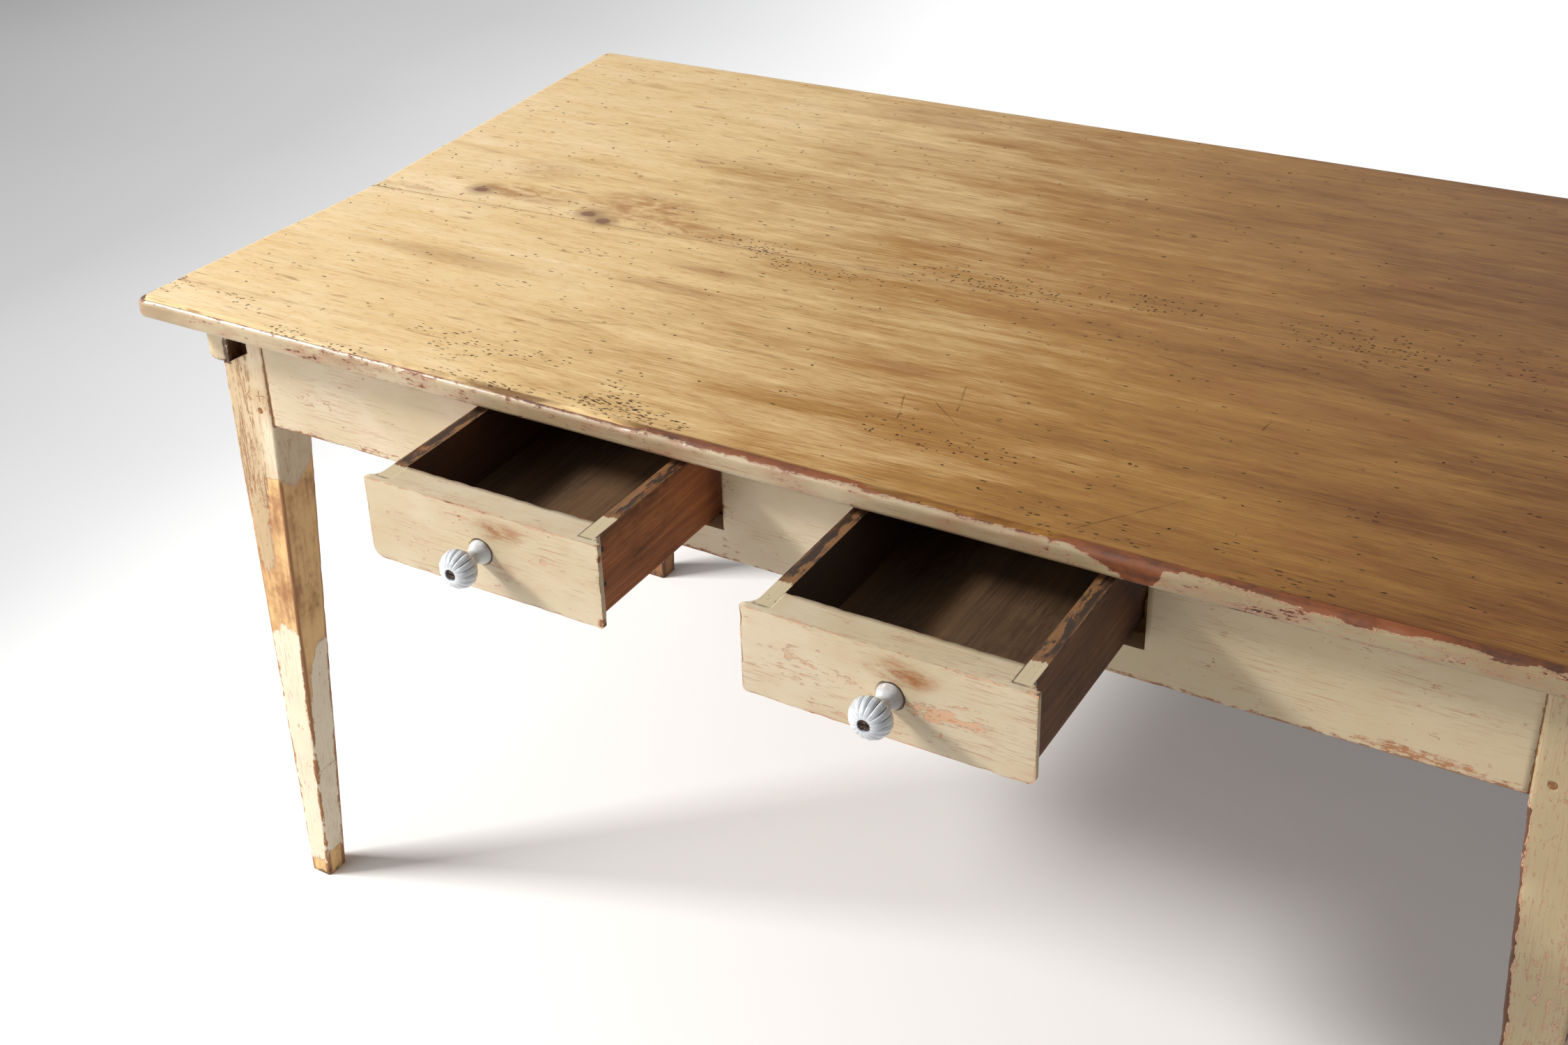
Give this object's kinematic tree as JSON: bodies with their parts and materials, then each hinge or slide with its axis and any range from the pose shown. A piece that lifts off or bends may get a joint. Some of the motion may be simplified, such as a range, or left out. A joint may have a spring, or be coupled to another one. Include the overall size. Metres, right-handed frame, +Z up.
{
  "type": "kitchen table with drawers",
  "caption": "Painted softwood kitchen table with a bare waxed board top, tapered legs and side-by-side sliding drawers with fluted glazed knobs.",
  "frame": {"origin": "on the floor, under the middle of the whole outline with the drawers as they stand open", "axes": "+X along the table towards its right end, +Y from the drawer front to the back, +Z up"},
  "size_m": [1.4995, 1.066, 0.77],
  "materials": {
    "waxed_pine": "waxed and worn",
    "cream_paint": "old cream paint, crackled and chipped to the wood",
    "aged_pine": "bare, darkened with age",
    "raw_softwood": "sawn",
    "peg_wood": "end grain",
    "glazed_porcelain": "glossy glaze",
    "dull_steel": "rusty",
    "cut_nail_iron": "dark, flush heads"
  },
  "bodies": {
    "table": {"back_apron": "cream_paint", "back_left_leg": "cream_paint", "back_right_leg": "cream_paint", "back_tenon_pegs": "peg_wood", "front_apron": "cream_paint", "front_left_leg": "cream_paint", "front_right_leg": "cream_paint", "front_tenon_pegs": "peg_wood", "left_apron": "cream_paint", "left_batten": "cream_paint", "left_batten_pegs": "peg_wood", "left_drawer_left_guide": "raw_softwood", "left_drawer_left_runner": "raw_softwood", "left_drawer_left_stop": "raw_softwood", "left_drawer_right_guide": "raw_softwood", "left_drawer_right_runner": "raw_softwood", "left_drawer_right_stop": "raw_softwood", "right_apron": "cream_paint", "right_batten": "cream_paint", "right_batten_pegs": "peg_wood", "right_drawer_left_guide": "raw_softwood", "right_drawer_left_runner": "raw_softwood", "right_drawer_left_stop": "raw_softwood", "right_drawer_right_guide": "raw_softwood", "right_drawer_right_runner": "raw_softwood", "right_drawer_right_stop": "raw_softwood", "runner_nails": "cut_nail_iron", "side_tenon_pegs": "peg_wood", "top_back_board": "waxed_pine", "top_front_board": "waxed_pine"},
    "left_drawer": {"left_drawer_back": "aged_pine", "left_drawer_bottom": "aged_pine", "left_drawer_bottom_nails": "cut_nail_iron", "left_drawer_front": "cream_paint", "left_drawer_knob": "glazed_porcelain", "left_drawer_knob_nut": "dull_steel", "left_drawer_knob_screw": "dull_steel", "left_drawer_knob_washer": "dull_steel", "left_drawer_left_side": "aged_pine", "left_drawer_right_side": "aged_pine", "left_drawer_side_nails": "cut_nail_iron"},
    "right_drawer": {"right_drawer_back": "aged_pine", "right_drawer_bottom": "aged_pine", "right_drawer_bottom_nails": "cut_nail_iron", "right_drawer_front": "cream_paint", "right_drawer_knob": "glazed_porcelain", "right_drawer_knob_nut": "dull_steel", "right_drawer_knob_screw": "dull_steel", "right_drawer_knob_washer": "dull_steel", "right_drawer_left_side": "aged_pine", "right_drawer_right_side": "aged_pine", "right_drawer_side_nails": "cut_nail_iron"}
  },
  "joints": [
    {"name": "left_drawer_slide", "type": "slide", "parent": "table", "child": "left_drawer", "axis": [0, -1, 0], "range_m": [-0.185, 0.135]},
    {"name": "right_drawer_slide", "type": "slide", "parent": "table", "child": "right_drawer", "axis": [0, -1, 0], "range_m": [-0.203, 0.117]}
  ]
}
